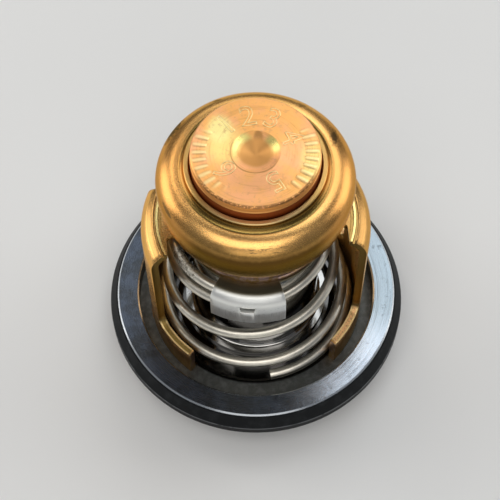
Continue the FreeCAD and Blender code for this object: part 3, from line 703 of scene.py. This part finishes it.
class Tree:
    """A Geometry Nodes tree with named inputs."""

    def __init__(self, name):
        self.group = bpy.data.node_groups.new(name, "GeometryNodeTree")
        self.group.interface.new_socket("Geometry", in_out="OUTPUT", socket_type="NodeSocketGeometry")
        self.source = None
        self.end = None
        self.values = {}

    def input(self, name, kind, value):
        """Adds a named input, which the modifier sets to value."""
        item = self.group.interface.new_socket(name, in_out="INPUT", socket_type="NodeSocket" + kind)
        self.values[item.identifier] = value

    def start(self):
        """Adds the nodes for input and output, once all inputs are named."""
        self.source = self.group.nodes.new("NodeGroupInput")
        self.end = self.group.nodes.new("NodeGroupOutput")

    def get(self, name):
        return self.source.outputs[name]

    def node(self, kind, settings=None, sockets=None, output=0):
        made = self.group.nodes.new(kind)
        for key, value in (settings or {}).items():
            setattr(made, key, value)
        for key, value in (sockets or {}).items():
            if isinstance(value, bpy.types.NodeSocket):
                self.group.links.new(value, made.inputs[key])
            else:
                made.inputs[key].default_value = value
        return made.outputs[output]

    def maths(self, operation, *values):
        return self.node("ShaderNodeMath", {"operation": operation}, dict(enumerate(values)))

    def finish(self, geometry, name):
        """Ends the tree, runs it and returns a plain mesh piece."""
        real = self.node("GeometryNodeRealizeInstances", sockets={0: geometry})
        smooth = self.node("GeometryNodeSetShadeSmooth", sockets={0: real})
        dressed = self.node("GeometryNodeSetMaterial",
                            sockets={0: smooth, "Material": self.get("Material")})
        self.group.links.new(dressed, self.end.inputs[0])
        holder = bpy.data.objects.new(name + "_source", bpy.data.meshes.new(name + "_source"))
        bpy.context.scene.collection.objects.link(holder)
        modifier = holder.modifiers.new("Nodes", "NODES")
        modifier.node_group = self.group
        for identifier, value in self.values.items():
            modifier[identifier] = value
        return plain_mesh(holder, name)


def spring_tree(sizes, material):
    """Leaning conical coil whose pitch is small at both ends."""
    t = Tree("Conical spring")
    for key in ("wire", "low_radius", "top_radius", "turns", "start", "low_turn", "top_turn", "ramp",
                "low_pitch", "top_pitch", "lean", "bow", "cone_power"):
        t.input(key, "Float", getattr(sizes, key))
    t.input("low_height", "Float", SPRING_LOW + sizes.wire / 2)
    t.input("top_height", "Float", SPRING_HIGH - sizes.wire / 2)
    t.input("stations", "Int", sizes.stations)
    t.input("sides", "Int", sizes.sides)
    t.input("Material", "Material", material)
    t.start()
    maths = t.maths
    whole = maths("MULTIPLY", t.get("turns"), math.tau)
    steps = maths("SUBTRACT", t.get("stations"), 1)
    step = maths("DIVIDE", whole, steps)
    index = t.node("GeometryNodeInputIndex")
    turned = maths("MULTIPLY", index, step)
    middle = maths("SUBTRACT", turned, maths("MULTIPLY", step, 0.5))
    low = maths("DIVIDE", maths("SUBTRACT", middle, t.get("low_turn")), t.get("ramp"))
    left = maths("SUBTRACT", maths("SUBTRACT", whole, t.get("top_turn")), middle)
    high = maths("DIVIDE", left, t.get("ramp"))

    def pitch(part, least):
        held = t.node("ShaderNodeClamp", sockets={0: part})
        return maths("ADD", least, maths("MULTIPLY", maths("SUBTRACT", 1.0, least), held))

    rate = maths("MINIMUM", pitch(low, t.get("low_pitch")), pitch(high, t.get("top_pitch")))
    rate = maths("MULTIPLY", rate, maths("GREATER_THAN", index, 0.5))
    sums = t.group.nodes.new("GeometryNodeAccumulateField")
    t.group.links.new(rate, sums.inputs["Value"])
    part = maths("DIVIDE", sums.outputs["Leading"], sums.outputs["Total"])
    fall = maths("POWER", part, t.get("cone_power"))
    shrink = maths("SUBTRACT", t.get("top_radius"), t.get("low_radius"))
    radius = maths("ADD", t.get("low_radius"), maths("MULTIPLY", shrink, fall))
    rise = maths("SUBTRACT", t.get("top_height"), t.get("low_height"))
    height = maths("ADD", t.get("low_height"), maths("MULTIPLY", rise, part))
    bulge = maths("MULTIPLY", maths("MULTIPLY", part, maths("SUBTRACT", 1.0, part)), 4.0)
    aside = maths("ADD", maths("MULTIPLY", t.get("lean"), part),
                  maths("MULTIPLY", t.get("bow"), bulge))
    heading = maths("ADD", t.get("start"), turned)
    x = maths("SUBTRACT", maths("MULTIPLY", radius, maths("COSINE", heading)), aside)
    y = maths("MULTIPLY", radius, maths("SINE", heading))
    place = t.node("ShaderNodeCombineXYZ", sockets={0: x, 1: y, 2: height})

    line = t.node("GeometryNodeCurvePrimitiveLine")
    line = t.node("GeometryNodeResampleCurve", sockets={"Curve": line, "Count": t.get("stations")})
    line = t.node("GeometryNodeSetPosition", sockets={0: line, "Position": place})
    along = t.node("GeometryNodeSplineParameter", output="Length")
    line = t.node("GeometryNodeStoreNamedAttribute", {"data_type": "FLOAT", "domain": "POINT"},
                  {0: line, "Name": "along", "Value": along})
    wire_radius = maths("MULTIPLY", t.get("wire"), 0.5)
    ring = t.node("GeometryNodeCurvePrimitiveCircle",
                  sockets={"Resolution": t.get("sides"), "Radius": wire_radius})
    spot = t.node("GeometryNodeInputPosition")
    ring = t.node("GeometryNodeStoreNamedAttribute", {"data_type": "FLOAT_VECTOR", "domain": "POINT"},
                  {0: ring, "Name": "section", "Value": spot})
    coil = t.node("GeometryNodeCurveToMesh",
                  sockets={"Curve": line, "Profile Curve": ring, "Fill Caps": True})
    section = t.node("GeometryNodeInputNamedAttribute", {"data_type": "FLOAT_VECTOR"},
                     {"Name": "section"})
    run = t.node("GeometryNodeInputNamedAttribute", {"data_type": "FLOAT"}, {"Name": "along"})
    parts = t.group.nodes.new("ShaderNodeSeparateXYZ")
    t.group.links.new(section, parts.inputs[0])
    streak = 3.2 / MM                 # the grain is this fine across the wire
    slow = 0.10 / MM                  # and this fine along it
    grain = t.node("ShaderNodeCombineXYZ", sockets={
        0: maths("MULTIPLY", parts.outputs[0], streak),
        1: maths("MULTIPLY", parts.outputs[1], streak),
        2: maths("MULTIPLY", run, slow)})
    coil = t.node("GeometryNodeStoreNamedAttribute", {"data_type": "FLOAT_VECTOR", "domain": "POINT"},
                  {0: coil, "Name": "wire_grain", "Value": grain})
    for name in ("section", "along"):
        coil = t.node("GeometryNodeRemoveAttribute", sockets={0: coil, "Name": name})
    return t.finish(coil, "spring_coil")


RIDGE_POINTS = 12                 # points along the band for each ridge
BAND_POINTS = 20                  # points round the band's section
BAND_DEPTH = 0.1 * MM             # the band's underside is this deep
BAND_FLOOR = 0.6                  # height between the ridges, as a share of the sink
WORN_FRONT = (-9.8 * MM, -6.2 * MM)     # the ridges start to show and are whole at these places on Y
WORN_BACK = (6.6 * MM, 3.4 * MM)


def ridge_tree(sizes, material):
    """A ring of radial ridges pressed round the copper head, worn away towards its front and back."""
    t = Tree("Head ridges")
    for key in ("ridge_radius", "ridge_length", "ridge_height", "ridge_sink"):
        t.input(key, "Float", getattr(sizes, key))
    t.input("ridges", "Int", sizes.ridges)
    t.input("height", "Float", HEAD_TOP)
    t.input("Material", "Material", material)
    t.start()
    maths = t.maths
    part = t.node("GeometryNodeSplineParameter", output="Factor")

    def circle(points, name):
        made = t.node("GeometryNodeCurvePrimitiveCircle", sockets={"Resolution": points, "Radius": 1.0})
        return t.node("GeometryNodeStoreNamedAttribute", {"data_type": "FLOAT", "domain": "POINT"},
                      {0: made, "Name": name, "Value": maths("MULTIPLY", part, math.tau)})

    band = t.node("GeometryNodeCurveToMesh", sockets={
        "Curve": circle(maths("MULTIPLY", t.get("ridges"), RIDGE_POINTS), "round"),
        "Profile Curve": circle(BAND_POINTS, "across")})
    heading = t.node("GeometryNodeInputNamedAttribute", {"data_type": "FLOAT"}, {"Name": "round"})
    across = t.node("GeometryNodeInputNamedAttribute", {"data_type": "FLOAT"}, {"Name": "across"})
    half = maths("MULTIPLY", t.get("ridge_length"), 0.5)
    radius = maths("ADD", t.get("ridge_radius"), maths("MULTIPLY", half, maths("COSINE", across)))
    arch = maths("SINE", across)
    upper = maths("POWER", maths("MAXIMUM", arch, 0.0), 0.5)
    lower = maths("MINIMUM", arch, 0.0)
    x = maths("MULTIPLY", radius, maths("COSINE", heading))
    y = maths("MULTIPLY", radius, maths("SINE", heading))

    def shown(limits):
        return t.node("ShaderNodeMapRange", {"interpolation_type": "SMOOTHSTEP"},
                      {"Value": y, "From Min": limits[0], "From Max": limits[1],
                       "To Min": 0.0, "To Max": 1.0})

    kept = maths("MULTIPLY", shown(WORN_FRONT), shown(WORN_BACK))
    wave = maths("COSINE", maths("MULTIPLY", heading, t.get("ridges")))
    wave = maths("MULTIPLY", maths("ADD", wave, 1.0), 0.5)
    crest = maths("MULTIPLY", maths("MULTIPLY", t.get("ridge_height"), wave), kept)
    lifted = maths("ADD", maths("MULTIPLY", t.get("ridge_sink"), BAND_FLOOR), crest)
    z = maths("SUBTRACT", t.get("height"), t.get("ridge_sink"))
    z = maths("ADD", z, maths("MULTIPLY", lifted, upper))
    z = maths("ADD", z, maths("MULTIPLY", lower, BAND_DEPTH))
    place = t.node("ShaderNodeCombineXYZ", sockets={0: x, 1: y, 2: z})
    band = t.node("GeometryNodeSetPosition", sockets={0: band, "Position": place})
    for name in ("round", "across"):
        band = t.node("GeometryNodeRemoveAttribute", sockets={0: band, "Name": name})
    return t.finish(band, "head_ridges")


# Operators, one for each piece or group of like pieces

# Name, place, width, height, watts and colour of each lamp, with its sizes in metres
LAMPS = (
    ("overhead_softbox", (-0.10, -0.45, 1.05), 1.00, 0.70, 4.2, (1.0, 0.98, 0.95)),
    ("window", (0.30, 0.58, 1.00), 0.66, 0.60, 2.6, (0.93, 0.97, 1.0)),
    ("back_left_softbox", (-0.50, 0.62, 0.98), 0.34, 0.40, 1.1, (1.0, 0.97, 0.92)),
    ("back_softbox", (0.0, 1.05, 0.70), 0.80, 0.35, 0.9, (1.0, 0.98, 0.95)),
    ("left_softbox", (-0.85, 0.28, 0.38), 0.60, 0.70, 3.0, (1.0, 0.97, 0.93)),
    ("right_softbox", (0.85, 0.28, 0.38), 0.60, 0.70, 2.6, (1.0, 0.98, 0.95)),
    ("front_softbox", (0.0, -1.0, 0.50), 0.90, 0.50, 1.2, (1.0, 0.98, 0.95)),
)
LAMP_TARGET = Vector((0, 0, 0.03))
SKY = (0.62, 0.64, 0.68, 1.0)
SKY_STRENGTH = 0.30
FLOOR_HALF = 3.0                  # half the floor's width


class THERMOSTAT_OT_stage(bpy.types.Operator):
    """Make the floor, the lamps, the world and the camera"""
    bl_idname = "thermostat.stage"
    bl_label = "Stage"

    def execute(self, context):
        colours = context.scene.thermostat_colours
        self.floor(colours.floor)
        for lamp in LAMPS:
            self.lamp(*lamp)
        self.world(context.scene)
        self.camera(context.scene)
        context.scene.view_settings.view_transform = "Standard"
        return {"FINISHED"}

    def floor(self, rgb):
        mesh = bpy.data.meshes.new("floor")
        corners = [(x * FLOOR_HALF, y * FLOOR_HALF, 0) for x, y in ((-1, -1), (1, -1), (1, 1), (-1, 1))]
        mesh.from_pydata(corners, [], [(0, 1, 2, 3)])
        floor = bpy.data.objects.new("floor", mesh)
        bpy.context.scene.collection.objects.link(floor)
        f = Finish("floor", Roughness=0.85, Specular_IOR_Level=0.2)
        cloud = f.noise(0.02, 3.0, 0.5)
        floor.data.materials.append(f.feed(Base_Color=f.mix(cloud, shade(rgb, 0.97), rgb)))

    def lamp(self, name, place, width, height, watts, rgb):
        data = bpy.data.lights.new(name, "AREA")
        data.shape = "RECTANGLE"
        data.size = width
        data.size_y = height
        data.energy = watts
        data.color = rgb
        obj = bpy.data.objects.new(name, data)
        bpy.context.scene.collection.objects.link(obj)
        obj.location = place
        obj.rotation_euler = (LAMP_TARGET - Vector(place)).to_track_quat("-Z", "Y").to_euler()

    def world(self, scene):
        world = bpy.data.worlds.new("studio")
        scene.world = world
        world.use_nodes = True
        background = world.node_tree.nodes["Background"]
        background.inputs["Color"].default_value = SKY
        background.inputs["Strength"].default_value = SKY_STRENGTH

    def camera(self, scene):
        sizes = scene.thermostat_camera
        data = bpy.data.cameras.new("camera")
        data.lens = sizes.lens
        data.sensor_width = 36.0
        data.clip_start = 0.01
        data.clip_end = 20.0
        camera = bpy.data.objects.new("camera", data)
        scene.collection.objects.link(camera)
        tilt = Matrix.Rotation(math.radians(90) - sizes.elevation, 4, "X")
        roll = Matrix.Rotation(sizes.roll, 4, "Z")
        place = Matrix.Translation((sizes.place_x, sizes.place_y, sizes.place_z))
        camera.matrix_world = place @ tilt @ roll
        scene.camera = camera


class THERMOSTAT_OT_flange(bpy.types.Operator):
    """Finish the turned flange and its rubber seal"""
    bl_idname = "thermostat.flange"
    bl_label = "Flange and Seal"

    def execute(self, context):
        colours = context.scene.thermostat_colours
        dress("flange", flange_finish(tuple(colours.flange)))
        dress("seal_ring", rubber_finish("seal_rubber", tuple(colours.rubber)))
        return {"FINISHED"}


class THERMOSTAT_OT_frame(bpy.types.Operator):
    """Finish the stirrup frame and the outlet bridge"""
    bl_idname = "thermostat.frame"
    bl_label = "Frame and Bridge"

    def execute(self, context):
        brass = tuple(context.scene.thermostat_colours.brass)
        dress("frame", frame_finish(brass), edge=0.18)
        dress("bridge", brass_finish("bridge_brass", brass))
        return {"FINISHED"}


class THERMOSTAT_OT_spring(bpy.types.Operator):
    """Make the conical main spring and finish its retainer"""
    bl_idname = "thermostat.spring"
    bl_label = "Spring and Retainer"

    def execute(self, context):
        sizes = context.scene.thermostat_spring
        colours = context.scene.thermostat_colours
        coil = spring_tree(sizes, wire_finish(tuple(colours.spring)))
        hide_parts("main_spring")
        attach(coil, "base")
        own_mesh(coil)
        dress("spring_retainer", retainer_finish(tuple(colours.stainless)), edge=0.1)
        return {"FINISHED"}


POLISHED = 0.72                   # brightness of the polished steel against the sheet
PISTON_STEEL = (0.66, 0.66, 0.67)


class THERMOSTAT_OT_valve(bpy.types.Operator):
    """Finish the valve plate, the hub sleeve and the bypass ring"""
    bl_idname = "thermostat.valve"
    bl_label = "Plate, Hub and Ring"

    def execute(self, context):
        colours = context.scene.thermostat_colours
        mirror = mirror_finish(shade(tuple(colours.stainless), POLISHED))
        dress("valve_plate", mirror)
        dress("hub_sleeve", mirror)
        dress("bypass_ring", ring_finish(tuple(colours.brass)))
        return {"FINISHED"}


# Direction in degrees and distance from the axis in millimetres of each digit on the head
DIGITS = ((132, 8.4), (100, 8.2), (66, 8.2), (24, 7.6), (-62, 7.6), (-146, 7.0))
TEXT_SIZE = 1.45                  # text size that gives digits 1 high
LINE_SUNK = 0.35                  # depth of a digit line's centre, as a share of its radius
DIGIT_WELD = 1e-6                 # points of a digit that are closer than this, in metres, are one


class THERMOSTAT_OT_capsule(bpy.types.Operator):
    """Finish the copper capsule and make the ridges and digits on its head"""
    bl_idname = "thermostat.capsule"
    bl_label = "Wax Capsule"

    def execute(self, context):
        sizes = context.scene.thermostat_head
        copper = copper_finish(tuple(context.scene.thermostat_colours.copper))
        dress("capsule_cup", copper)
        ridges = ridge_tree(sizes, copper)
        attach(ridges, "valve")
        digits = self.digits(sizes, copper)
        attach(digits, "valve")
        return {"FINISHED"}

    def digits(self, sizes, copper):
        """Plain digits in a ring, each as a raised line round its outline."""
        whole = bmesh.new()
        for digit, (degrees, radius) in enumerate(DIGITS, start=1):
            text = bpy.data.curves.new("digit", "FONT")
            text.body = str(digit)
            text.size = sizes.digit_height * TEXT_SIZE
            text.align_x = "CENTER"
            text.align_y = "CENTER"
            text.fill_mode = "NONE"
            text.bevel_depth = sizes.digit_line
            text.bevel_resolution = 3
            text.resolution_u = 6
            source = bpy.data.objects.new("digit", text)
            bpy.context.scene.collection.objects.link(source)
            turn = math.radians(degrees)
            place = Vector((radius * MM * math.cos(turn), radius * MM * math.sin(turn),
                            HEAD_TOP - sizes.digit_line * LINE_SUNK))
            made = plain_mesh(source, "digit")
            made.data.transform(Matrix.Translation(place) @ Matrix.Rotation(turn - math.pi / 2, 4, "Z"))
            whole.from_mesh(made.data)
            bpy.data.objects.remove(made)
        bmesh.ops.remove_doubles(whole, verts=whole.verts, dist=DIGIT_WELD)
        bmesh.ops.recalc_face_normals(whole, faces=whole.faces)
        mesh = bpy.data.meshes.new("head_digits")
        whole.to_mesh(mesh)
        whole.free()
        for polygon in mesh.polygons:
            polygon.use_smooth = True
        mesh.materials.clear()
        mesh.materials.append(copper)
        piece = bpy.data.objects.new("head_digits", mesh)
        bpy.context.scene.collection.objects.link(piece)
        return piece


class THERMOSTAT_OT_inside(bpy.types.Operator):
    """Finish the piston, its guide and the parts inside the capsule"""
    bl_idname = "thermostat.inside"
    bl_label = "Piston and Inner Parts"

    def execute(self, context):
        colours = context.scene.thermostat_colours
        dress("piston", turned_finish("piston_steel", PISTON_STEEL, 0.10))
        dress("piston_guide", turned_finish("guide_brass", tuple(colours.brass), 0.25))
        dress("backing_washer", washer_finish(tuple(colours.stainless)))
        rubber = rubber_finish("inner_rubber", tuple(colours.rubber))
        dress("piston_wiper", rubber)
        dress("rubber_sleeve", rubber)
        dress("wax_charge", wax_finish())
        return {"FINISHED"}


class THERMOSTAT_PT_panel(bpy.types.Panel):
    """Lists the thermostat's operators"""
    bl_idname = "THERMOSTAT_PT_panel"
    bl_label = "Thermostat"
    bl_space_type = "VIEW_3D"
    bl_region_type = "UI"
    bl_category = "Thermostat"

    def draw(self, context):
        for operator in OPERATORS:
            self.layout.operator(operator.bl_idname)


OPERATORS = (
    THERMOSTAT_OT_stage, THERMOSTAT_OT_flange, THERMOSTAT_OT_frame, THERMOSTAT_OT_spring,
    THERMOSTAT_OT_valve, THERMOSTAT_OT_capsule, THERMOSTAT_OT_inside,
)
SETTINGS = {
    "thermostat_spring": SpringSizes, "thermostat_head": HeadSizes,
    "thermostat_colours": Colours, "thermostat_camera": CameraSizes,
}


def register():
    """Adds the settings, the operators and the panel to Blender."""
    for cls in (*SETTINGS.values(), *OPERATORS, THERMOSTAT_PT_panel):
        bpy.utils.register_class(cls)
    for name, cls in SETTINGS.items():
        setattr(bpy.types.Scene, name, PointerProperty(type=cls))


def unregister():
    """Takes them away again."""
    for name in SETTINGS:
        delattr(bpy.types.Scene, name)
    for cls in (THERMOSTAT_PT_panel, *reversed(OPERATORS), *SETTINGS.values()):
        bpy.utils.unregister_class(cls)


def main():
    """Runs every operator."""
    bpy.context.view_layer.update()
    register()
    for operator in OPERATORS:
        group, name = operator.bl_idname.split(".")
        getattr(getattr(bpy.ops, group), name)()


if __name__ == "__main__":
    main()
